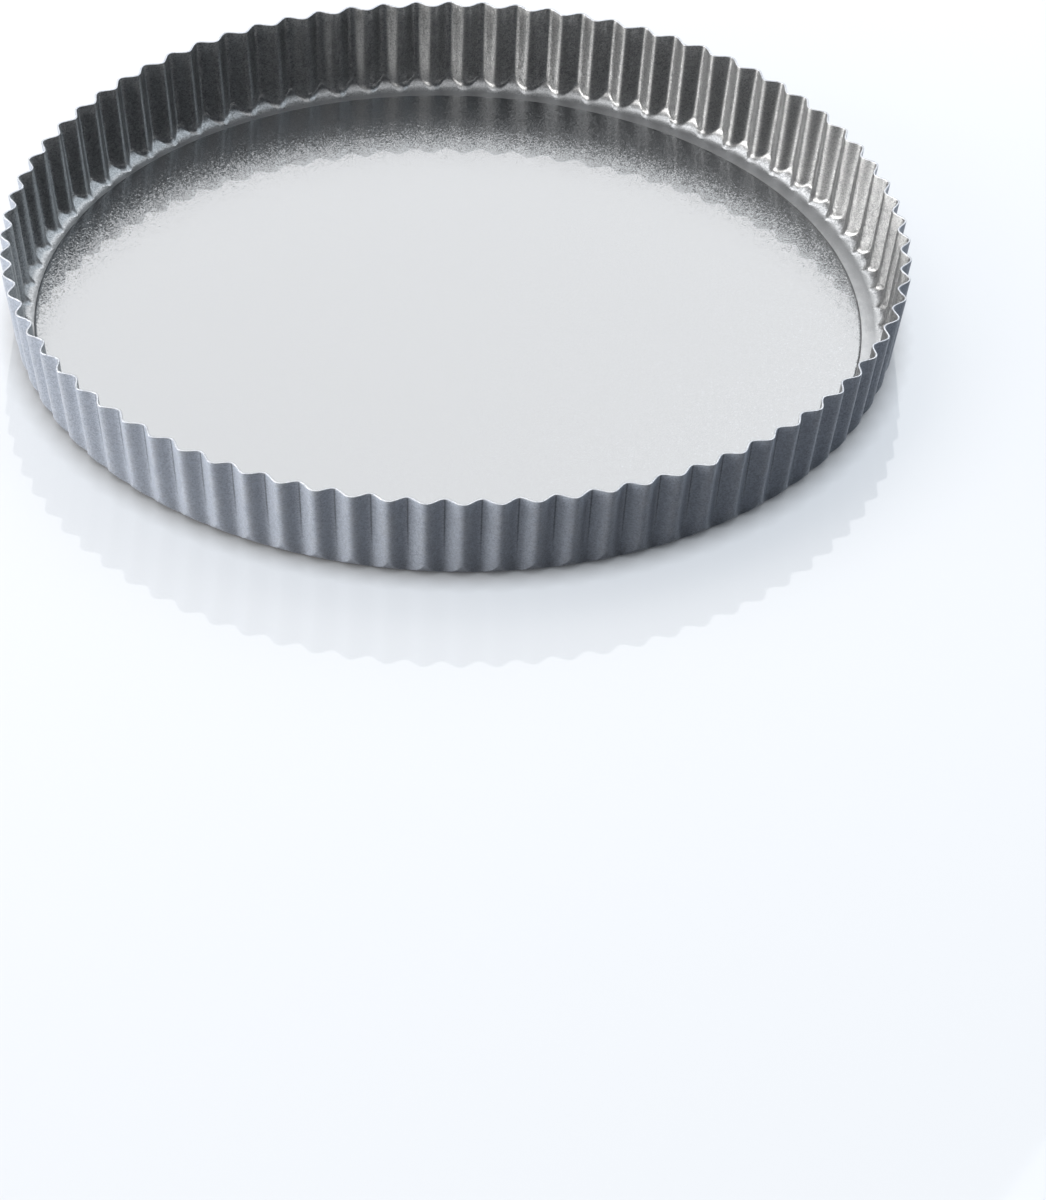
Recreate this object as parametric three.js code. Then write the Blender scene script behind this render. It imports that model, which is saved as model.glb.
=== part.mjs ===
// Fluted tart pan with a loose base. A pressed sheet ring has a fluted wall that leans outward and a flat
// ledge turned inward at its foot. A flat disc lies loose on that ledge and lifts out with the tart.
// Millimetres, +Z up, origin on the ring's axis in the plane that the ring stands on.

import * as THREE from "three";

// Ring
const RIM_RADIUS = 140; // to the outward crests, at the rim's outer edge
const HEIGHT = 29.5;
const RING_SHEET = 0.6;
const WALL_LEAN_DEG = 8.6; // outward, from the vertical
const CORNER_RADIUS = 5.6; // inside, where the ledge turns up into the outward crests
const LEDGE_WIDTH = 9; // flat part of the ledge

// Flutes
const FLUTE_COUNT = 80;
const FLUTE_DEPTH = 2.95; // at the rim, from outward crest to inward ridge, along the radius
const FLUTE_FOOT_SHARE = 0.72; // of that depth, left at the ring's foot
const FLUTE_START_DEG = 1.5; // the first outward crest, counted from +X towards +Y
const FLUTE_SHARPNESS = 0.4; // of the crests: towards 0 the wave is a sine, at 1 a zigzag
const CREST_HALF_TURN_DEG = 40; // of the wave, from a crest's middle to its last point

// Loose base
const BASE_SHEET = 0.6;
const BASE_PLAY = 2.05; // free gap all round a centred base
const BASE_SLIDE_SHARE = 0.97; // of the play, taken up where the base lies
const BASE_SLIDE_DEG = 197; // the way that the base lies slid, counted from +X towards +Y

// Facets
const CORNER_STEPS = 2;
const BASE_STEPS = 160;

const WALL_LEAN = THREE.MathUtils.degToRad(WALL_LEAN_DEG);
const LEAN_SLOPE = Math.tan(WALL_LEAN);

// The wall's flanks stand askew to the radius, so the sheet is thicker along it.
const flankAngle = Math.atan((FLUTE_DEPTH * FLUTE_COUNT) / (Math.PI * RIM_RADIUS));
const wallAcross = RING_SHEET / Math.cos(flankAngle);

// Axis of the rounded corner's circle: it touches the ledge's top and the inside of an outward crest.
const cornerHeight = RING_SHEET + CORNER_RADIUS;
const cornerRing = wallRadius(1, cornerHeight) - wallAcross - CORNER_RADIUS / Math.cos(WALL_LEAN);

// The ledge is flat up to the corner, or up to the inward ridges where those come first.
const ridgeRadius = wallRadius(0, RING_SHEET) - wallAcross;
const ledgeRadius = Math.min(cornerRing, ridgeRadius);
const holeRadius = ledgeRadius - LEDGE_WIDTH;
const baseRadius = ledgeRadius - BASE_PLAY;

const ringMetal = new THREE.MeshStandardMaterial({
  color: 0x4c5058,
  roughness: 0.38,
  metalness: 0.85,
});
const baseMetal = new THREE.MeshStandardMaterial({
  color: 0x5a5e65,
  roughness: 0.34,
  metalness: 0.85,
});

// Share of the flute depth at a turn of the wave: 1 on an outward crest, 0 on an inward ridge.
function waveShare(turn) {
  return 0.5 + (0.5 * Math.asin(FLUTE_SHARPNESS * Math.cos(turn))) / Math.asin(FLUTE_SHARPNESS);
}

// Radius of the wall's outer face at a height.
function wallRadius(share, z) {
  const depth = FLUTE_DEPTH * THREE.MathUtils.lerp(FLUTE_FOOT_SHARE, 1, z / HEIGHT);
  return RIM_RADIUS - LEAN_SLOPE * (HEIGHT - z) - depth * (1 - share);
}

// One face of the sheet at the foot, from the flat ledge up the corner to where it meets the wall.
// across is the wall's thickness on that face: none outside, all of it inside.
function cornerPoints(share, radius, ledgeZ, across) {
  const wallAtAxis = wallRadius(share, ledgeZ + radius) - across - cornerRing;
  const meeting = Math.asin(Math.min(1, (wallAtAxis * Math.cos(WALL_LEAN)) / radius)) - WALL_LEAN;
  const points = [];
  for (let step = 0; step <= CORNER_STEPS; step++) {
    const angle = (Math.max(0, meeting) * step) / CORNER_STEPS;
    const z = ledgeZ + radius * (1 - Math.cos(angle));
    const r = Math.min(cornerRing + radius * Math.sin(angle), wallRadius(share, z) - across);
    points.push(new THREE.Vector2(r, z));
  }
  return points;
}

// Closed section of the ring on one side of its axis, for one share of the flute depth.
function ringSection(share) {
  const rim = wallRadius(share, HEIGHT);
  return [
    new THREE.Vector2(holeRadius, 0),
    ...cornerPoints(share, CORNER_RADIUS + RING_SHEET, 0, 0),
    new THREE.Vector2(rim, HEIGHT),
    new THREE.Vector2(rim - wallAcross, HEIGHT),
    ...cornerPoints(share, CORNER_RADIUS, RING_SHEET, wallAcross).reverse(),
    new THREE.Vector2(holeRadius, RING_SHEET),
    new THREE.Vector2(holeRadius, 0),
  ];
}

// The ring is turned once from its crest section, and each column of points then takes its own section.
function ringGeometry() {
  const crestTurn = THREE.MathUtils.degToRad(CREST_HALF_TURN_DEG);
  const turns = [0, crestTurn, Math.PI - crestTurn, Math.PI, Math.PI + crestTurn, 2 * Math.PI - crestTurn];
  const columns = FLUTE_COUNT * turns.length;
  const geometry = new THREE.LatheGeometry(ringSection(1), columns);
  const position = geometry.getAttribute("position");
  const start = THREE.MathUtils.degToRad(FLUTE_START_DEG);
  for (let column = 0; column <= columns; column++) {
    const turn = turns[column % turns.length];
    const flute = Math.floor(column / turns.length) % FLUTE_COUNT;
    const angle = start + (2 * Math.PI * flute + turn) / FLUTE_COUNT;
    const section = ringSection(waveShare(turn));
    section.forEach(({ x, y }, row) => {
      position.setXYZ(column * section.length + row, x * Math.cos(angle), x * Math.sin(angle), y);
    });
  }
  return geometry;
}

// A flat disc whose underside is at z = 0.
function baseGeometry() {
  const section = [
    new THREE.Vector2(0, 0),
    new THREE.Vector2(baseRadius, 0),
    new THREE.Vector2(baseRadius, BASE_SHEET),
    new THREE.Vector2(0, BASE_SHEET),
  ];
  return new THREE.LatheGeometry(section, BASE_STEPS).rotateX(Math.PI / 2);
}

const ring = new THREE.Mesh(ringGeometry(), ringMetal);
ring.name = "fluted_ring";

const base = new THREE.Mesh(baseGeometry(), baseMetal);
base.name = "loose_base";
const baseSlide = BASE_SLIDE_SHARE * BASE_PLAY;
const baseSlideAngle = THREE.MathUtils.degToRad(BASE_SLIDE_DEG);
base.position.set(baseSlide * Math.cos(baseSlideAngle), baseSlide * Math.sin(baseSlideAngle), RING_SHEET);

const pan = new THREE.Group();
pan.name = "fluted_tart_pan";
pan.add(ring, base);

export default pan;
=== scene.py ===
"""Fluted tart pan with a loose base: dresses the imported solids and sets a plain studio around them.

Metres, +Z up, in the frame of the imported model: the ring stands on z = 0 with its axis on Z.
"""
import logging
import math
from dataclasses import dataclass, field
from enum import Enum

import bpy
import numpy as np
from mathutils import Matrix, Vector


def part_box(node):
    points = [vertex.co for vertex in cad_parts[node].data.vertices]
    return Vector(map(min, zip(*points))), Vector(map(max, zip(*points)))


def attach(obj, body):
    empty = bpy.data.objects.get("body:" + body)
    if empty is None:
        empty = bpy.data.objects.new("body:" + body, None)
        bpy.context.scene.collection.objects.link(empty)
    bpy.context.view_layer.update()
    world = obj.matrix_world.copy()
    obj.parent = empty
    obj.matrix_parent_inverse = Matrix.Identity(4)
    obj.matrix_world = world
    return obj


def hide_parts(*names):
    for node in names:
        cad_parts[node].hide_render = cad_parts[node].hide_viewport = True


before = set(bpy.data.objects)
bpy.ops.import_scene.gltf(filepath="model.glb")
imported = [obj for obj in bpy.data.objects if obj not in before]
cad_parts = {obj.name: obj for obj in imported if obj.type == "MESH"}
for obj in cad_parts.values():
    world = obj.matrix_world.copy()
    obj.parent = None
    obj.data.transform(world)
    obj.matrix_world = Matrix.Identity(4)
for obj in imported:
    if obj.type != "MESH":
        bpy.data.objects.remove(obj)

LOG = logging.getLogger("tart_pan")
Colour = tuple[float, float, float]


class SheetFace(Enum):
    """The two faces of the pressed sheet, with the side of its middle that each lies on."""

    INNER = -1
    OUTER = 1


class PointMask(Enum):
    """Values kept on a mesh's points for its finish to read."""

    OUTSIDE = "outside_face"
    CUT = "cut_edge"
    FOLD = "fold_line"
    # Painted shade along the bottoms of the outer valleys.
    PAINTED_GROOVE_SHADE = "painted_groove_shade"
    LEDGE = "ledge_top"


class NodeGraph:
    """A node tree that is filled from code."""

    def __init__(self, tree: bpy.types.NodeTree) -> None:
        """Takes over a tree and empties it."""
        self.tree = tree
        tree.nodes.clear()

    def add(self, kind: str, **settings: object) -> bpy.types.Node:
        """Adds a node.

        Args:
            kind: the node's type, without its ShaderNode prefix where it has one.
            settings: properties of the node, by name.

        Returns:
            The new node.
        """
        prefix = "" if kind.startswith("Node") else "ShaderNode"
        node = self.tree.nodes.new(prefix + kind)
        for name, value in settings.items():
            setattr(node, name, value)
        return node

    def feed(self, socket: bpy.types.NodeSocket, source: object) -> None:
        """Links a socket to another one, or gives it a plain value.

        Args:
            socket: the input to feed.
            source: socket or plain value.
        """
        if isinstance(source, bpy.types.NodeSocket):
            self.tree.links.new(source, socket)
        else:
            socket.default_value = source

    def math(self, operation: str, *sources: object, clamp: bool = False) -> bpy.types.NodeSocket:
        """Adds a Math node.

        Args:
            operation: the operation's name.
            sources: sockets or numbers for its inputs, in order.
            clamp: True keeps the result from 0 to 1.

        Returns:
            The result's socket.
        """
        node = self.add("Math", operation=operation, use_clamp=clamp)
        for socket, source in zip(node.inputs, sources):
            self.feed(socket, source)
        return node.outputs[0]

    def vector(self, operation: str, *sources: object) -> bpy.types.NodeSocket:
        """Adds a Vector Math node.

        Args:
            operation: the operation's name.
            sources: sockets or vectors for its inputs, in order. For SCALE the second one is a number.

        Returns:
            The result's socket.
        """
        node = self.add("VectorMath", operation=operation)
        sockets = [node.inputs[0], node.inputs["Scale"]] if operation == "SCALE" else node.inputs
        for socket, source in zip(sockets, sources):
            self.feed(socket, source)
        return node.outputs[0]

    def ramp(
        self, value: object, low: float, high: float, to_low: float, to_high: float
    ) -> bpy.types.NodeSocket:
        """Adds a smooth Map Range node.

        Args:
            value: socket or number to map.
            low: value that gives to_low.
            high: value that gives to_high.
            to_low: result at low and below.
            to_high: result at high and above.

        Returns:
            The result's socket.
        """
        node = self.add("MapRange", interpolation_type="SMOOTHSTEP")
        for name, source in (
            ("Value", value),
            ("From Min", low),
            ("From Max", high),
            ("To Min", to_low),
            ("To Max", to_high),
        ):
            self.feed(node.inputs[name], source)
        return node.outputs["Result"]

    def blend(self, share: object, first: object, second: object) -> bpy.types.NodeSocket:
        """Adds a colour Mix node.

        Args:
            share: socket or number, 0 for the first colour and 1 for the second.
            first: socket or colour.
            second: socket or colour.

        Returns:
            The result's socket.
        """
        node = self.add("Mix", data_type="RGBA")
        colours = [socket for socket in node.inputs if socket.type == "RGBA"]
        self.feed(node.inputs["Factor"], share)
        for socket, source in zip(colours, (first, second)):
            self.feed(socket, (*source, 1.0) if isinstance(source, tuple) else source)
        return next(socket for socket in node.outputs if socket.type == "RGBA")

    def mask(self, mask: PointMask) -> bpy.types.NodeSocket:
        """Reads one of the values kept on the mesh's points."""
        return self.add("Attribute", attribute_name=mask.value).outputs["Fac"]

    def effect(self, group: bpy.types.NodeTree, **values: object) -> bpy.types.Node:
        """Places a shared effect.

        Args:
            group: the effect's node group.
            values: its inputs, by name with _ for a space.

        Returns:
            The group node.
        """
        node = self.add("Group", node_tree=group)
        for name, value in values.items():
            self.feed(node.inputs[name.replace("_", " ")], value)
        return node

    def surface(self, shader: bpy.types.Node, output: str = "OutputMaterial") -> None:
        """Makes a shader the surface that the tree puts out."""
        self.feed(self.add(output).inputs["Surface"], shader.outputs[0])


def node_material(name: str) -> tuple[bpy.types.Material, NodeGraph]:
    """Makes a material with an empty node tree.

    Args:
        name: the material's name.

    Returns:
        The material and its tree.
    """
    material = bpy.data.materials.new(name)
    material.use_nodes = True
    return material, NodeGraph(material.node_tree)


class CoatEffects:
    """Shared effects of the two coats, each a node group that is built once."""

    # A flake's random value from 0 to 1: where it starts to be bright, and where it is fully bright.
    BRIGHT_FLAKES = (0.93, 0.99)
    # A higher power leaves more flakes level.
    LEAN_POWER = 1.5
    PATCH_DETAIL = 5.0
    # Noise where a hairline starts, and where it is whole.
    HAIRLINES = (0.66, 0.74)
    HAIRLINE_STRETCH = (0.06, 1.0, 1.0)
    HAIRLINE_WANDER = 0.6
    # Noise where the metal showing through, and on the disc the painted edge shade, starts, and where it is
    # whole.
    BREAKS = (0.38, 0.62)
    BREAK_DETAIL = 4.0
    # Share of a cut edge's mark, rubbed-through metal on the ring and painted shade on the disc, that goes
    # on through the breaks.
    CUT_UNBROKEN = 0.4

    def __init__(self) -> None:
        """Builds all groups."""
        self.flakes = self._flakes()
        self.rubbing = self._rubbing()
        self.wear_and_shade = self._wear_and_shade()

    @staticmethod
    def _open(
        name: str, inputs: dict[str, float], outputs: dict[str, str]
    ) -> tuple[NodeGraph, bpy.types.Node, bpy.types.Node]:
        """Starts a node group with its sockets.

        Args:
            name: the group's name.
            inputs: number inputs with their default values.
            outputs: outputs with their socket types.

        Returns:
            The graph, its input node and its output node.
        """
        tree = bpy.data.node_groups.new(name, "ShaderNodeTree")
        for socket, value in inputs.items():
            made = tree.interface.new_socket(socket, in_out="INPUT", socket_type="NodeSocketFloat")
            made.default_value = value
        for socket, kind in outputs.items():
            tree.interface.new_socket(socket, in_out="OUTPUT", socket_type=kind)
        graph = NodeGraph(tree)
        return graph, graph.add("NodeGroupInput"), graph.add("NodeGroupOutput")

    def _flakes(self) -> bpy.types.NodeTree:
        """Metal flakes that lie in the coat, each tilted its own way, over a faint orange peel.

        Sweep tilts them further along X, and Lean towards -Y.

        Returns:
            A group with the tilted normal, a tone around 1 and a mask of the few bright flakes.
        """
        inputs = {
            "Flakes per Metre": 2800.0,
            "Tilt": 0.2,
            "Sweep": 0.0,
            "Lean": 0.0,
            "Peel per Metre": 150.0,
            "Peel": 0.02,
            "Tone": 0.1,
        }
        outputs = {"Normal": "NodeSocketVector", "Tone": "NodeSocketFloat", "Bright": "NodeSocketFloat"}
        graph, given, out = self._open("coat_flakes", inputs, outputs)
        place = graph.add("TexCoord").outputs["Object"]
        middle = (0.5, 0.5, 0.5)
        cells = graph.add("TexVoronoi", voronoi_dimensions="3D", feature="F1")
        graph.feed(cells.inputs["Vector"], place)
        graph.feed(cells.inputs["Scale"], given.outputs["Flakes per Metre"])
        peel = graph.add("TexNoise", noise_dimensions="3D")
        graph.feed(peel.inputs["Vector"], place)
        graph.feed(peel.inputs["Scale"], given.outputs["Peel per Metre"])
        own_way = graph.vector("SUBTRACT", cells.outputs["Color"], middle)
        tilt = graph.vector("SCALE", own_way, given.outputs["Tilt"])
        across = graph.vector("MULTIPLY", own_way, (1.0, 0.0, 0.0))
        across = graph.vector("SCALE", across, given.outputs["Sweep"])
        sway = graph.vector("SUBTRACT", peel.outputs["Color"], middle)
        sway = graph.vector("SCALE", sway, given.outputs["Peel"])
        shade = graph.add("SeparateColor")
        graph.feed(shade.inputs[0], cells.outputs["Color"])
        along = graph.add("CombineXYZ")
        reach = graph.math("POWER", shade.outputs[2], self.LEAN_POWER)
        reach = graph.math("MULTIPLY", reach, given.outputs["Lean"])
        graph.feed(along.inputs["Y"], graph.math("MULTIPLY", reach, -1.0))
        normal = graph.vector("ADD", graph.add("NewGeometry").outputs["Normal"], tilt)
        normal = graph.vector("ADD", normal, graph.vector("ADD", across, along.outputs[0]))
        normal = graph.vector("NORMALIZE", graph.vector("ADD", normal, sway))
        graph.feed(out.inputs["Normal"], normal)
        spread = graph.math("MULTIPLY_ADD", shade.outputs[0], 2.0, -1.0)
        graph.feed(out.inputs["Tone"], graph.math("MULTIPLY_ADD", spread, given.outputs["Tone"], 1.0))
        graph.feed(out.inputs["Bright"], graph.ramp(shade.outputs[1], *self.BRIGHT_FLAKES, 0.0, 1.0))
        return graph.tree

    def _rubbing(self) -> bpy.types.NodeTree:
        """Where hands and cloths have polished the coat or left it duller, with fine hairlines.

        Returns:
            A group with a patchy value around 0 and a mask of hairlines.
        """
        inputs = {"Patches per Metre": 35.0, "Lines per Metre": 420.0}
        outputs = {"Patch": "NodeSocketFloat", "Hairlines": "NodeSocketFloat"}
        graph, given, out = self._open("rubbed_patches", inputs, outputs)
        place = graph.add("TexCoord").outputs["Object"]
        patch = graph.add("TexNoise", noise_dimensions="3D")
        graph.feed(patch.inputs["Vector"], place)
        graph.feed(patch.inputs["Scale"], given.outputs["Patches per Metre"])
        graph.feed(patch.inputs["Detail"], self.PATCH_DETAIL)
        graph.feed(out.inputs["Patch"], graph.math("MULTIPLY_ADD", patch.outputs["Fac"], 2.0, -1.0))
        lines = graph.add("TexNoise", noise_dimensions="3D")
        graph.feed(lines.inputs["Vector"], graph.vector("MULTIPLY", place, self.HAIRLINE_STRETCH))
        graph.feed(lines.inputs["Scale"], given.outputs["Lines per Metre"])
        graph.feed(lines.inputs["Distortion"], self.HAIRLINE_WANDER)
        graph.feed(out.inputs["Hairlines"], graph.ramp(lines.outputs["Fac"], *self.HAIRLINES, 0.0, 1.0))
        return graph.tree

    def _wear_and_shade(self) -> bpy.types.NodeTree:
        """Metal showing through along cut edges and folds, broken up so that it isn't an even line. On the
        disc the cut edge's mark is painted shade.

        Returns:
            A group with the mask of metal showing through, and of the disc's painted edge shade.
        """
        inputs = {"Cut": 0.0, "Cut Wear": 0.5, "Fold": 0.0, "Fold Wear": 0.3, "Breaks per Metre": 260.0}
        graph, given, out = self._open("edge_wear_and_shade", inputs, {"Bare and Edge Shade": "NodeSocketFloat"})
        breaks = graph.add("TexNoise", noise_dimensions="3D")
        graph.feed(breaks.inputs["Vector"], graph.add("TexCoord").outputs["Object"])
        graph.feed(breaks.inputs["Scale"], given.outputs["Breaks per Metre"])
        graph.feed(breaks.inputs["Detail"], self.BREAK_DETAIL)
        patchy = graph.ramp(breaks.outputs["Fac"], *self.BREAKS, 0.0, 1.0)
        cut = graph.math("MULTIPLY", given.outputs["Cut"], given.outputs["Cut Wear"])
        through = graph.math("MULTIPLY_ADD", patchy, 1 - self.CUT_UNBROKEN, self.CUT_UNBROKEN)
        cut = graph.math("MULTIPLY", cut, through)
        fold = graph.math("MULTIPLY", given.outputs["Fold"], given.outputs["Fold Wear"])
        fold = graph.math("MULTIPLY", fold, patchy)
        graph.feed(out.inputs["Bare and Edge Shade"], graph.math("MAXIMUM", cut, fold))
        return graph.tree


@dataclass(frozen=True)
class CoatFinish:
    """Non-stick coat with metal flakes on pressed steel sheet. The ring's ledge has no grain, and painted
    shade darkens the ring's outer valleys and the disc's cut edge.

    The inside is the face under the tart, and the outside the other one. Tilt, sweep, lean and peel
    are added to the surface's unit normal, and lacquer is the weight of a clear layer on the inside.
    """

    name: str
    inside: Colour
    outside: Colour
    # Colour of the metal showing through on the ring; on the disc, the dark painted shade of its cut edge.
    bare_and_edge_shade: Colour = (0.6, 0.6, 0.6)
    inside_metallic: float = 0.85
    outside_metallic: float = 0.08
    inside_roughness: float = 0.33
    outside_roughness: float = 0.3
    gloss: float = 0.12
    bare_roughness: float = 0.32
    patch_roughness: float = 0.03
    hairline_roughness: float = 0.008
    flakes_per_metre: float = 2600.0
    tilt: float = 0.1
    sweep: float = 0.0
    lean: float = 0.0
    peel: float = 0.01
    inside_tone: float = 0.3
    outside_tone: float = 0.2
    bright_share: float = 0.1
    # On the disc, the cut edge's mark is painted shade in the dark edge colour.
    cut_wear_and_edge_shade: float = 0.4
    fold_wear: float = 0.1
    ledge_roughness: float = 0.06
    # How much the painted shade darkens the outer valleys.
    groove_painted_shade: float = 0.6
    lacquer: float = 0.0
    lacquer_roughness: float = 0.03
    lacquer_ior: float = 1.5

    def make(self, effects: CoatEffects) -> bpy.types.Material:
        """Makes the coat's material.

        Args:
            effects: the shared effects.

        Returns:
            The material.
        """
        material, graph = node_material(self.name)
        outside = graph.mask(PointMask.OUTSIDE)
        ledge = graph.mask(PointMask.LEDGE)
        tone = graph.ramp(outside, 0.0, 1.0, self.inside_tone, self.outside_tone)
        flakes = graph.effect(
            effects.flakes,
            Flakes_per_Metre=self.flakes_per_metre,
            Tilt=self.tilt,
            Sweep=self.sweep,
            Lean=self.lean,
            Peel=self.peel,
            Tone=graph.math("MULTIPLY", tone, graph.math("SUBTRACT", 1.0, ledge)),
        )
        rubbed = graph.effect(effects.rubbing)
        # Metal showing through on cut edges and folds; on the disc, the cut edge's painted shade line.
        worn_and_shaded = graph.effect(
            effects.wear_and_shade,
            Cut=graph.mask(PointMask.CUT),
            Cut_Wear=self.cut_wear_and_edge_shade,
            Fold=graph.mask(PointMask.FOLD),
            Fold_Wear=self.fold_wear,
        )
        bare_and_edge_shade = worn_and_shaded.outputs["Bare and Edge Shade"]
        metallic = graph.ramp(outside, 0.0, 1.0, self.inside_metallic, self.outside_metallic)
        shader = graph.add("BsdfPrincipled")
        graph.feed(shader.inputs["Base Color"], self._colour(graph, outside, flakes, bare_and_edge_shade))
        graph.feed(shader.inputs["Roughness"], self._roughness(graph, outside, ledge, rubbed, bare_and_edge_shade))
        graph.feed(shader.inputs["Metallic"], metallic)
        graph.feed(shader.inputs["Normal"], flakes.outputs["Normal"])
        shader.inputs["Specular IOR Level"].default_value = self.gloss
        if self.lacquer > 0:
            graph.feed(shader.inputs["Coat Weight"], graph.ramp(outside, 0.0, 1.0, self.lacquer, 0.0))
            shader.inputs["Coat Roughness"].default_value = self.lacquer_roughness
            shader.inputs["Coat IOR"].default_value = self.lacquer_ior
        graph.surface(shader)
        return material

    def _colour(
        self,
        graph: NodeGraph,
        outside: bpy.types.NodeSocket,
        flakes: bpy.types.Node,
        bare_and_edge_shade: bpy.types.NodeSocket,
    ) -> bpy.types.NodeSocket:
        """Mixes the two faces' colours with the flakes, the painted shade in the outer grooves, and the
        metal showing through, which on the disc's edge is a dark painted shade.

        Args:
            graph: the material's tree.
            outside: mask of the outer face.
            flakes: the flakes' group node.
            bare_and_edge_shade: mask of the metal showing through, and of the painted shade on the disc's
                edge.

        Returns:
            The colour's socket.
        """
        coat = graph.blend(outside, self.inside, self.outside)
        coat = graph.vector("SCALE", coat, flakes.outputs["Tone"])
        bright = graph.math("MULTIPLY", flakes.outputs["Bright"], self.bright_share)
        coat = graph.blend(bright, coat, self.bare_and_edge_shade)
        # Painted shade: darkens the coat's colour along the outer valleys.
        dimmed = graph.math("MULTIPLY_ADD", graph.mask(PointMask.PAINTED_GROOVE_SHADE), -self.groove_painted_shade, 1.0)
        coat = graph.vector("SCALE", coat, dimmed)
        return graph.blend(bare_and_edge_shade, coat, self.bare_and_edge_shade)

    def _roughness(
        self,
        graph: NodeGraph,
        outside: bpy.types.NodeSocket,
        ledge: bpy.types.NodeSocket,
        rubbed: bpy.types.Node,
        bare_and_edge_shade: bpy.types.NodeSocket,
    ) -> bpy.types.NodeSocket:
        """Varies the two faces' roughness by rubbed patches, hairlines, the ledge, and the metal showing
        through, which on the disc's edge is its painted shade.

        Args:
            graph: the material's tree.
            outside: mask of the outer face.
            ledge: mask of the ledge's top.
            rubbed: the rubbing's group node.
            bare_and_edge_shade: mask of the metal showing through, and of the painted shade on the disc's
                edge.

        Returns:
            The roughness's socket.
        """
        rough = graph.ramp(outside, 0.0, 1.0, self.inside_roughness, self.outside_roughness)
        rough = graph.math("MULTIPLY_ADD", rubbed.outputs["Patch"], self.patch_roughness, rough)
        rough = graph.math("MULTIPLY_ADD", rubbed.outputs["Hairlines"], self.hairline_roughness, rough)
        rough = graph.math("MULTIPLY_ADD", ledge, self.ledge_roughness, rough)
        bared = graph.math("SUBTRACT", self.bare_roughness, rough)
        return graph.math("MULTIPLY_ADD", bare_and_edge_shade, bared, rough, clamp=True)


RING_COAT = CoatFinish("grey_flake_coat", inside=(0.28, 0.286, 0.293), outside=(0.325, 0.362, 0.43))
# The disc's cut edge is dark instead of bright: its edge colour is painted shade, a dark line for the
# shadow in the gap beside the ledge.
DISC_COAT = CoatFinish(
    "grey_flake_coat_flat",
    inside=(0.2, 0.206, 0.212),
    outside=(0.3, 0.333, 0.395),
    bare_and_edge_shade=(0.06, 0.06, 0.065),
    inside_metallic=0.92,
    inside_roughness=0.17,
    flakes_per_metre=3200.0,
    tilt=0.06,
    sweep=0.2,
    lean=0.09,
    lacquer=0.85,
    inside_tone=0.02,
    bright_share=0.0,
    cut_wear_and_edge_shade=1.0,
)


@dataclass
class SectionPoint:
    """One point of the ring's closed section, for every column round the ring at once."""

    radius: np.ndarray
    z: np.ndarray
    shift: np.ndarray
    outside: float = 0.0
    cut: float = 0.0
    fold: np.ndarray | float = 0.0
    valley_painted_shade: np.ndarray | float = 0.0
    ledge: float = 0.0


def keep_masks(mesh: bpy.types.Mesh, masks: dict[PointMask, np.ndarray]) -> None:
    """Keeps values on a mesh's points.

    Args:
        mesh: the mesh.
        masks: one value per point, for each mask.
    """
    for mask, values in masks.items():
        attribute = mesh.attributes.new(mask.value, "FLOAT", "POINT")
        attribute.data.foreach_set("value", np.asarray(values, np.float32).ravel())


def smooth_piece(name: str, points: np.ndarray, faces: list[list[int]]) -> bpy.types.Object:
    """Makes a smooth-shaded mesh object and puts it in the scene.

    Args:
        name: the piece's name.
        points: one row of x, y, z per point.
        faces: indices of each face's points.

    Returns:
        The object.
    """
    mesh = bpy.data.meshes.new(name)
    mesh.from_pydata(points.tolist(), [], faces)
    mesh.shade_smooth()
    mesh.update()
    piece = bpy.data.objects.new(name, mesh)
    bpy.context.scene.collection.objects.link(piece)
    return piece


def quarter_turn(steps: int) -> list[float]:
    """Gives the angles of a quarter circle, from 0 up in even steps."""
    return [math.pi / 2 * step / steps for step in range(steps + 1)]


@dataclass
class PressedPart:
    """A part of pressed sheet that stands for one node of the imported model."""

    node: str
    body: str
    slot: str

    def build(self) -> bpy.types.Object:
        """Builds the part's object, each part in its own way."""
        raise NotImplementedError

    def dress(self, piece: bpy.types.Object, finish: bpy.types.Material) -> None:
        """Gives the part its coat and its place in the frame.

        Args:
            piece: the part's object.
            finish: the coat's material.
        """
        piece.data.materials.append(finish)
        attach(piece, self.body)
        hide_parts(self.node)


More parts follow.
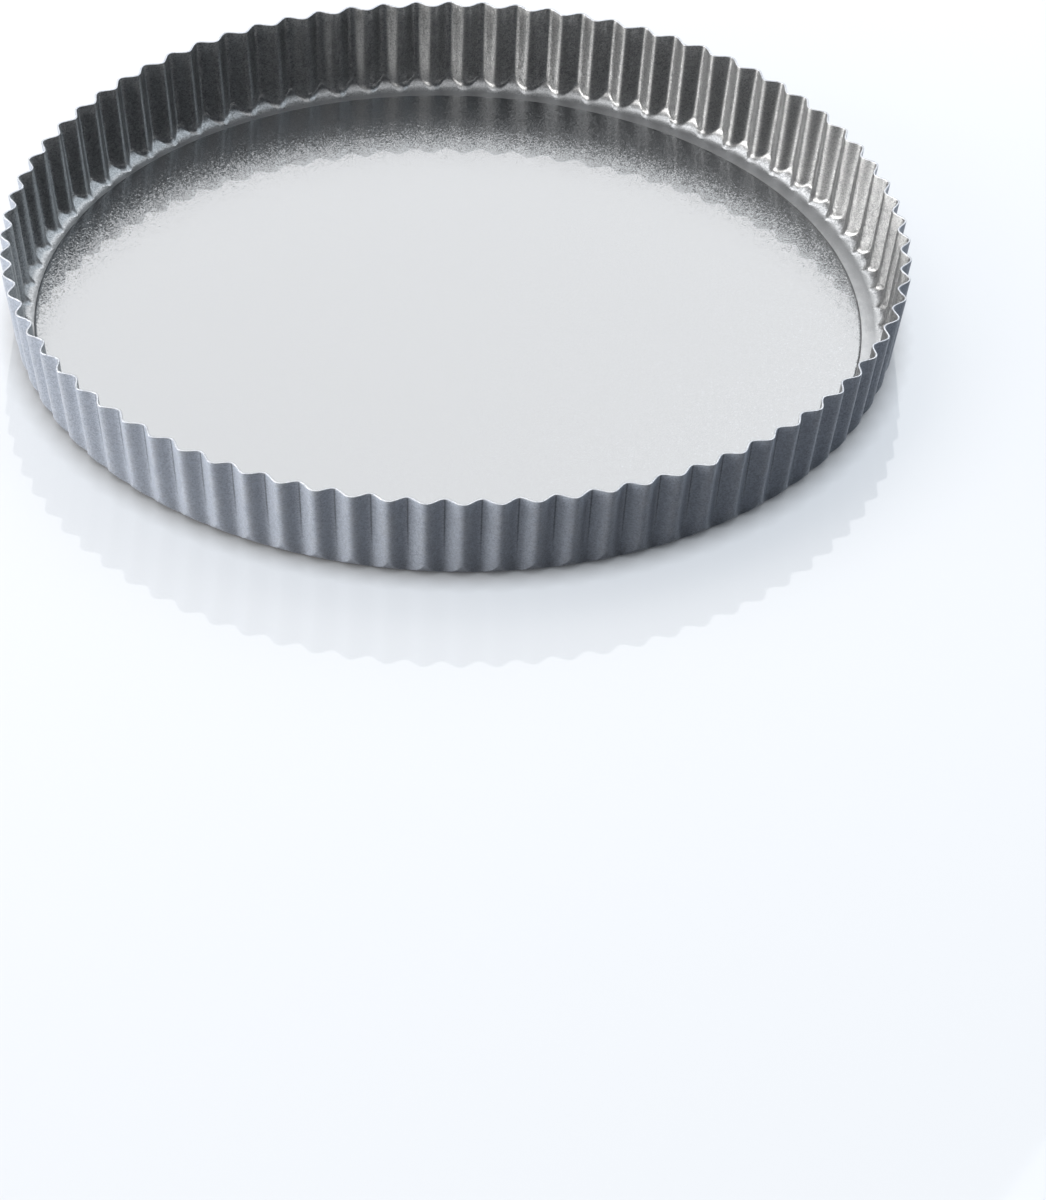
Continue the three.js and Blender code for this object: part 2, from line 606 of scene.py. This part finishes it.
@dataclass
class FlutedRing(PressedPart):
    """Pressed sheet ring: a fluted wall that leans outward over a flat ledge turned inward."""

    node: str = "fluted_ring"
    body: str = "ring"
    slot: str = "ring_coat"
    # Sheet, wall and ledge
    rim_radius: float = 0.140
    sheet: float = 0.0006
    lean: float = math.radians(8.6)
    corner_radius: float = 0.0056
    ledge_width: float = 0.009
    edge_round: float = 0.0002
    # Flutes: they start at an outward crest, and towards a sharpness of 0 they are a sine wave.
    flute_count: int = 80
    flute_depth: float = 0.00295
    foot_depth_share: float = 0.72
    flute_start: float = math.radians(1.5)
    flute_sharpness: float = 0.4
    # Fillets where the wall runs into the corner: lengths along the section, and the most of the bend used
    ridge_crease: float = 0.0021
    flank_crease: float = 0.0008
    outer_crease: float = 0.00035
    crease_limit: float = 0.9
    # Reach of the masks: shares of the flute's depth, the height and the corner's bend
    fold_from: float = 0.6
    # Painted shade along the outer valleys: their share of the wave, and the heights over which it grows
    # in.
    groove_share: float = 0.01
    groove_heights: tuple[float, float] = (0.2, 0.6)
    ledge_share: float = 0.4
    # Outside mask on the rim's cut edge, between the two faces
    rim_outside: float = 0.5
    # Points of the skin: the pull draws its columns towards the crests and ridges.
    columns_per_flute: int = 16
    column_pull: float = 0.3
    corner_steps: int = 8
    crease_steps: int = 5
    wall_steps: int = 5
    round_steps: int = 3
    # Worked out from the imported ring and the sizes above
    height: float = field(init=False)
    half: float = field(init=False)
    corner_ring: float = field(init=False)
    hole_radius: float = field(init=False)
    angle: np.ndarray = field(init=False)
    share: np.ndarray = field(init=False)
    rise: np.ndarray = field(init=False)

    def __post_init__(self) -> None:
        """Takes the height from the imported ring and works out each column's place on the wave."""
        self.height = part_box(self.node)[1].z
        step = np.arange(self.columns_per_flute) * (2 * math.pi / self.columns_per_flute)
        turn = step - self.column_pull * np.sin(2 * step) / 2
        flutes = np.arange(self.flute_count)[:, None]
        self.angle = (self.flute_start + (2 * math.pi * flutes + turn) / self.flute_count).ravel()
        top = math.asin(self.flute_sharpness)
        swing = self.flute_sharpness * np.cos(turn)
        share = 0.5 + 0.5 * np.arcsin(swing) / top
        rise = -0.5 * self.flute_sharpness * np.sin(turn) / np.sqrt(1 - swing**2) / top
        self.share = np.tile(share, self.flute_count)
        self.rise = np.tile(rise, self.flute_count)
        self.half = self.sheet / (2 * math.cos(self.lean))
        self.corner_ring = (
            self.rim_radius
            - 2 * self.half
            - math.tan(self.lean) * (self.height - self.sheet - self.corner_radius)
            - self.corner_radius / math.cos(self.lean)
        )
        self.hole_radius = self.corner_ring - self.ledge_width

    def wall(self, offset: float, z: np.ndarray | float) -> tuple[np.ndarray, np.ndarray]:
        """Places the wall's points at a height.

        Args:
            offset: distance from the sheet's middle, outward.
            z: height of the points.

        Returns:
            Their radii, and how far the sheet's tilt shifts them round the ring.
        """
        deep = self.foot_depth_share + (1 - self.foot_depth_share) * z / self.height
        depth = self.flute_depth * deep
        leaned = self.rim_radius - self.half - math.tan(self.lean) * (self.height - z)
        middle = leaned - depth * (1 - self.share)
        flank = np.arctan2(depth * self.flute_count * self.rise, middle)
        radius = middle + offset * np.cos(flank)
        return radius, -offset * np.sin(flank) / radius

    def foot_points(self, face: SheetFace) -> list[SectionPoint]:
        """Lays one face from the ledge's flat end round the corner and up the wall, to just below the rim.

        Args:
            face: the face of the sheet.

        Returns:
            The points, from the ledge upward.
        """
        outer = face is SheetFace.OUTER
        offset = face.value * self.half
        radius = self.corner_radius + (self.sheet if outer else 0.0)
        axis_z = radius + (0.0 if outer else self.sheet)
        wall_r, shift = self.wall(offset, axis_z)
        reach = np.clip((wall_r - self.corner_ring) * math.cos(self.lean) / radius, 0.0, 1.0)
        meeting = np.maximum(np.arcsin(reach) - self.lean, 0.0)
        convex = self.share if outer else 1 - self.share
        fold = np.clip((convex - self.fold_from) / (1 - self.fold_from), 0.0, 1.0)
        inner_crease = self.flank_crease + (self.ridge_crease - self.flank_crease) * convex**2
        crease = np.full_like(convex, self.outer_crease) if outer else inner_crease
        bend_end = meeting - np.minimum(crease / radius, self.crease_limit * meeting)

        def corner(angle: np.ndarray) -> tuple[np.ndarray, np.ndarray]:
            """Gives radius and height of the corner's circle at an angle up from the ledge."""
            return self.corner_ring + radius * np.sin(angle), axis_z - radius * np.cos(angle)

        points = []
        for step in range(self.corner_steps + 1):
            part = step / self.corner_steps
            r, z = corner(bend_end * part)
            ledge = 0.0 if outer else max(0.0, 1 - part / self.ledge_share)
            points.append(SectionPoint(r, z, shift * part, outside=float(outer), ledge=ledge))
        start = corner(bend_end)
        knee = corner(meeting)
        end_z = knee[1] + crease * math.cos(self.lean)
        end = (self.wall(offset, end_z)[0], end_z)
        for step in range(1, self.crease_steps + 1):
            part = step / self.crease_steps
            r, z = (
                (1 - part) ** 2 * a + 2 * part * (1 - part) * b + part**2 * c
                for a, b, c in zip(start, knee, end)
            )
            points.append(SectionPoint(r, z, shift, outside=float(outer), fold=fold * part))
        top = self.height - self.edge_round
        # Painted shade along the outer valleys, none below the lower height and full above the upper one.
        bottom_line = np.where(self.share < self.groove_share, float(outer), 0.0)
        low, high = self.groove_heights
        for step in range(1, self.wall_steps + 1):
            z = end_z + (top - end_z) * step / self.wall_steps
            r, turned = self.wall(offset, z)
            valley_painted_shade = bottom_line * np.clip((z / self.height - low) / (high - low), 0.0, 1.0)
            points.append(SectionPoint(r, z, turned, outside=float(outer), fold=fold, valley_painted_shade=valley_painted_shade))
        return points

    def rim_points(self) -> list[SectionPoint]:
        """Lays the rim's cut edge, from the inner face over to the outer one.

        Returns:
            The points between the two faces' last ones.
        """
        points = []
        inset = self.half - self.edge_round
        quarter = quarter_turn(self.round_steps)
        lower = self.height - self.edge_round
        for side, angles in ((SheetFace.INNER, quarter[1:]), (SheetFace.OUTER, quarter[::-1][:-1])):
            for angle in angles:
                offset = side.value * (inset + self.edge_round * math.cos(angle))
                z = np.full_like(self.share, lower + self.edge_round * math.sin(angle))
                r, shift = self.wall(offset, z)
                points.append(SectionPoint(r, z, shift, outside=self.rim_outside, cut=1.0))
        return points

    def hole_points(self) -> list[SectionPoint]:
        """Lays the ledge's cut inner edge, from its underside up to its top.

        Returns:
            The points, from below upward.
        """
        points = []
        still = np.zeros_like(self.share)
        quarter = quarter_turn(self.round_steps)
        inset = self.edge_round
        lower = (SheetFace.OUTER, inset, quarter[::-1])
        upper = (SheetFace.INNER, self.sheet - inset, quarter)
        for side, centre_z, angles in (lower, upper):
            below = float(side is SheetFace.OUTER)
            for angle in angles:
                r = still + self.hole_radius + inset * (1 - math.cos(angle))
                z = still + centre_z - side.value * inset * math.sin(angle)
                points.append(SectionPoint(r, z, still, outside=below, cut=1.0, ledge=1 - below))
        return points

    def build(self) -> bpy.types.Object:
        """Builds the ring as one closed skin, column by column.

        Returns:
            The ring's object.
        """
        section = [
            *self.hole_points(),
            *self.foot_points(SheetFace.INNER),
            *self.rim_points(),
            *self.foot_points(SheetFace.OUTER)[::-1],
        ]
        columns = len(self.angle)
        turned = np.stack([self.angle + point.shift for point in section], axis=1)
        radius = np.stack([point.radius for point in section], axis=1)
        z = np.stack([point.z for point in section], axis=1)
        points = np.stack([radius * np.cos(turned), radius * np.sin(turned), z], axis=-1).reshape(-1, 3)
        index = np.arange(columns * len(section)).reshape(columns, len(section))
        along = np.roll(index, -1, axis=1)
        faces = np.stack([index, along, np.roll(along, -1, axis=0), np.roll(index, -1, axis=0)], axis=-1)
        piece = smooth_piece("pressed_fluted_ring", points, faces.reshape(-1, 4).tolist())
        still = np.zeros((columns, 1))
        keep_masks(
            piece.data,
            {
                PointMask.OUTSIDE: still + [point.outside for point in section],
                PointMask.CUT: still + [point.cut for point in section],
                PointMask.FOLD: np.stack([still[:, 0] + point.fold for point in section], axis=1),
                PointMask.PAINTED_GROOVE_SHADE: np.stack([still[:, 0] + point.valley_painted_shade for point in section], axis=1),
                PointMask.LEDGE: still + [point.ledge for point in section],
            },
        )
        return piece


@dataclass
class LooseBase(PressedPart):
    """Flat sheet disc that lies loose on the ring's ledge."""

    node: str = "loose_base"
    body: str = "base"
    slot: str = "base_coat"
    # The top rolls down a little at its edge, and the underside's edge is rounded.
    edge_roll: float = 0.0009
    edge_drop: float = 0.00028
    edge_round: float = 0.0001
    # Painted edge shade on the roll: the share of its width where it starts, and how fast it rises from
    # there
    edge_shade_from: float = 0.4
    edge_shade_rise: float = 3.0
    # Points of the skin: the shares of the radius place the rings on the flat faces.
    columns: int = 320
    round_steps: int = 5
    ring_shares: tuple[float, ...] = (0.06, 0.2, 0.4, 0.6, 0.8, 0.93, 0.99)

    def section(self) -> list[tuple[float, float, float, float]]:
        """Lays half of the disc's section, from the middle of its top round the edge to its underside.

        Returns:
            Radius, height, outside mask and cut mask of each point.
        """
        low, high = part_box(self.node)
        radius = (high.y - low.y) / 2
        quarter = quarter_turn(self.round_steps)
        top = [(radius * share, high.z, 0.0, 0.0) for share in self.ring_shares]
        for angle in quarter:
            part = math.sin(angle)
            drop = self.edge_drop * (1 - math.cos(angle))
            cut = min(1.0, max(0.0, self.edge_shade_rise * (part - self.edge_shade_from)))
            top.append((radius - self.edge_roll * (1 - part), high.z - drop, 0.0, cut))
        under = []
        for angle in reversed(quarter):
            inset = self.edge_round * (1 - math.sin(angle))
            lift = self.edge_round * (1 - math.cos(angle))
            under.append((radius - inset, low.z + lift, 1.0, math.sin(angle)))
        under += [(radius * share, low.z, 1.0, 0.0) for share in reversed(self.ring_shares)]
        return top + under

    def build(self) -> bpy.types.Object:
        """Builds the disc by turning its section.

        Returns:
            The disc's object.
        """
        low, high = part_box(self.node)
        radius, height, outside, cut = np.array(self.section()).T
        turn = np.arange(self.columns) * (2 * math.pi / self.columns)
        x = (low.x + high.x) / 2 + np.outer(np.cos(turn), radius)
        y = (low.y + high.y) / 2 + np.outer(np.sin(turn), radius)
        z = np.broadcast_to(height, x.shape)
        points = np.stack([x, y, z], axis=-1).reshape(-1, 3)
        index = np.arange(len(points)).reshape(x.shape)
        ahead = np.roll(index, -1, axis=0)
        quads = np.stack([index[:, :-1], index[:, 1:], ahead[:, 1:], ahead[:, :-1]], axis=-1)
        faces = quads.reshape(-1, 4).tolist()
        faces.append(index[:, 0].tolist())
        faces.append(index[::-1, -1].tolist())
        piece = smooth_piece("loose_base_disc", points, faces)
        still = np.zeros((self.columns, 1))
        keep_masks(piece.data, {PointMask.OUTSIDE: still + outside, PointMask.CUT: still + cut})
        return piece


@dataclass(frozen=True)
class SoftPanel:
    """A soft light panel that faces the pan. Its angles are in degrees, as the pan sees it."""

    name: str
    azimuth: float
    elevation: float
    across: float
    upright: float
    radiance: float
    colour: Colour = (1.0, 1.0, 1.0)
    distance: float = 2.0

    def place(self) -> None:
        """Puts the panel in the scene."""
        lamp = bpy.data.lights.new(self.name, "AREA")
        lamp.shape = "RECTANGLE"
        lamp.size = 2 * self.distance * math.tan(math.radians(self.across) / 2)
        lamp.size_y = 2 * self.distance * math.tan(math.radians(self.upright) / 2)
        lamp.energy = math.pi * self.radiance * lamp.size * lamp.size_y
        lamp.color = self.colour
        panel = bpy.data.objects.new(self.name, lamp)
        turn, tilt = math.radians(self.azimuth), math.radians(self.elevation)
        towards = Vector((math.cos(tilt) * math.cos(turn), math.cos(tilt) * math.sin(turn), math.sin(tilt)))
        panel.location = towards * self.distance
        panel.rotation_euler = towards.to_track_quat("Z", "Y").to_euler()
        panel.visible_camera = False
        bpy.context.scene.collection.objects.link(panel)


@dataclass
class Studio:
    """Glossy white table top, soft panels round the pan and a dim surrounding."""

    floor_radius: float = 30.0
    floor_steps: int = 96
    floor_colour: Colour = (0.2, 0.19, 0.18)
    floor_roughness: float = 0.03
    floor_gloss: float = 0.24
    floor_glow: float = 0.635
    glow_colour: Colour = (0.84, 0.91, 1.0)
    # Painted contact shadow: the table top's glow is darker where the pan is closer than this.
    shade_reach: float = 0.008
    shade_samples: int = 4
    fill: Colour = (0.02, 0.025, 0.035)
    # Azimuth, elevation, width and height in degrees, then the radiance and the colour
    panels: tuple[SoftPanel, ...] = (
        SoftPanel("left_low", 188.0, 10.0, 46.0, 20.0, 11.5, (1.0, 0.97, 0.93)),
        SoftPanel("left_key", 208.0, 27.0, 42.0, 26.0, 4.8, (1.0, 0.97, 0.93)),
        SoftPanel("back_left", 150.0, 55.0, 44.0, 36.0, 3.8),
        SoftPanel("back_panel", 90.0, 43.0, 43.0, 46.0, 2.9),
        SoftPanel("right_fill", 32.0, 38.0, 56.0, 56.0, 1.9, (0.86, 0.94, 1.0)),
        SoftPanel("top_fill", 270.0, 76.0, 46.0, 46.0, 1.3),
    )

    def floor(self) -> None:
        """Builds the table top, whose glow shows to the camera and in glossy faces but lights nothing, and
        fades into a painted contact shadow near the pan.
        """
        turn = np.arange(self.floor_steps) * (2 * math.pi / self.floor_steps)
        points = np.stack([np.cos(turn), np.sin(turn), 0 * turn], axis=-1) * self.floor_radius
        top = smooth_piece("table_top", points, [list(range(self.floor_steps))])
        material, graph = node_material("white_table_top")
        shader = graph.add("BsdfPrincipled")
        shader.inputs["Base Color"].default_value = (*self.floor_colour, 1.0)
        shader.inputs["Roughness"].default_value = self.floor_roughness
        shader.inputs["Specular IOR Level"].default_value = self.floor_gloss
        shader.inputs["Emission Color"].default_value = (*self.glow_colour, 1.0)
        path = graph.add("LightPath")
        seen = graph.math("MAXIMUM", path.outputs["Is Camera Ray"], path.outputs["Is Glossy Ray"])
        seen = graph.math("MAXIMUM", seen, path.outputs["Is Transmission Ray"])
        # Painted contact shadow: ambient occlusion dims the glow near the pan.
        painted_contact_shadow = graph.add("AmbientOcclusion", samples=self.shade_samples)
        painted_contact_shadow.inputs["Distance"].default_value = self.shade_reach
        glow = graph.math("MULTIPLY", painted_contact_shadow.outputs["AO"], self.floor_glow)
        graph.feed(shader.inputs["Emission Strength"], graph.math("MULTIPLY", seen, glow))
        graph.surface(shader)
        top.data.materials.append(material)

    def surround(self) -> None:
        """Sets the dim surrounding that fills the shadows."""
        world = bpy.data.worlds.new("studio_surround")
        bpy.context.scene.world = world
        world.use_nodes = True
        graph = NodeGraph(world.node_tree)
        shade = graph.add("Background")
        shade.inputs["Color"].default_value = (*self.fill, 1.0)
        graph.surface(shade, "OutputWorld")

    def set_up(self) -> None:
        """Builds the floor, the panels and the surrounding."""
        self.floor()
        for panel in self.panels:
            panel.place()
        self.surround()
        bpy.context.scene.view_settings.view_transform = "Standard"


@dataclass
class PhotoCamera:
    """Long lens that looks down at the pan, with the pan in the picture's upper left."""

    image: tuple[float, float] = (1046.0, 1200.0)
    focal_pixels: float = 5562.0
    elevation: float = math.radians(33.37)
    roll: float = math.radians(1.14)
    distance: float = 1.712
    rim_centre: tuple[float, float, float] = (0.0, 0.0, 0.0295)
    rim_pixel: tuple[float, float] = (456.3, 236.9)
    sensor: float = 36.0

    def place(self) -> None:
        """Puts the camera in the scene and makes it the scene's own."""
        tilt = self.elevation
        level = Matrix(
            ((1, 0, 0), (0, -math.sin(tilt), -math.cos(tilt)), (0, math.cos(tilt), -math.sin(tilt)))
        )
        rolled = Matrix.Rotation(self.roll, 3, "Z") @ level
        across = (self.rim_pixel[0] - self.image[0] / 2) / self.focal_pixels
        down = (self.rim_pixel[1] - self.image[1] / 2) / self.focal_pixels
        swing = Vector((0, 0, 1)).rotation_difference(Vector((across, down, 1))).to_matrix()
        right, below, ahead = swing @ rolled
        lens = bpy.data.cameras.new("photo_camera")
        lens.sensor_width = self.sensor
        lens.lens = self.focal_pixels / max(self.image) * self.sensor
        camera = bpy.data.objects.new("photo_camera", lens)
        place = Vector(self.rim_centre)
        place.y -= self.distance * math.cos(tilt)
        place.z += self.distance * math.sin(tilt)
        turn = Matrix((right, -below, -ahead)).transposed()
        camera.matrix_world = Matrix.Translation(place) @ turn.to_4x4()
        bpy.context.scene.collection.objects.link(camera)
        bpy.context.scene.camera = camera


def main() -> None:
    """Builds the pan, piece by piece, and the studio round it."""
    logging.basicConfig(level=logging.INFO, format="%(message)s")
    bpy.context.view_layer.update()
    effects = CoatEffects()
    for part, finish in ((FlutedRing(), RING_COAT), (LooseBase(), DISC_COAT)):
        piece = part.build()
        part.dress(piece, finish.make(effects))
        LOG.info("%s: %d faces", piece.name, len(piece.data.polygons))
    Studio().set_up()
    PhotoCamera().place()


if __name__ == "__main__":
    main()
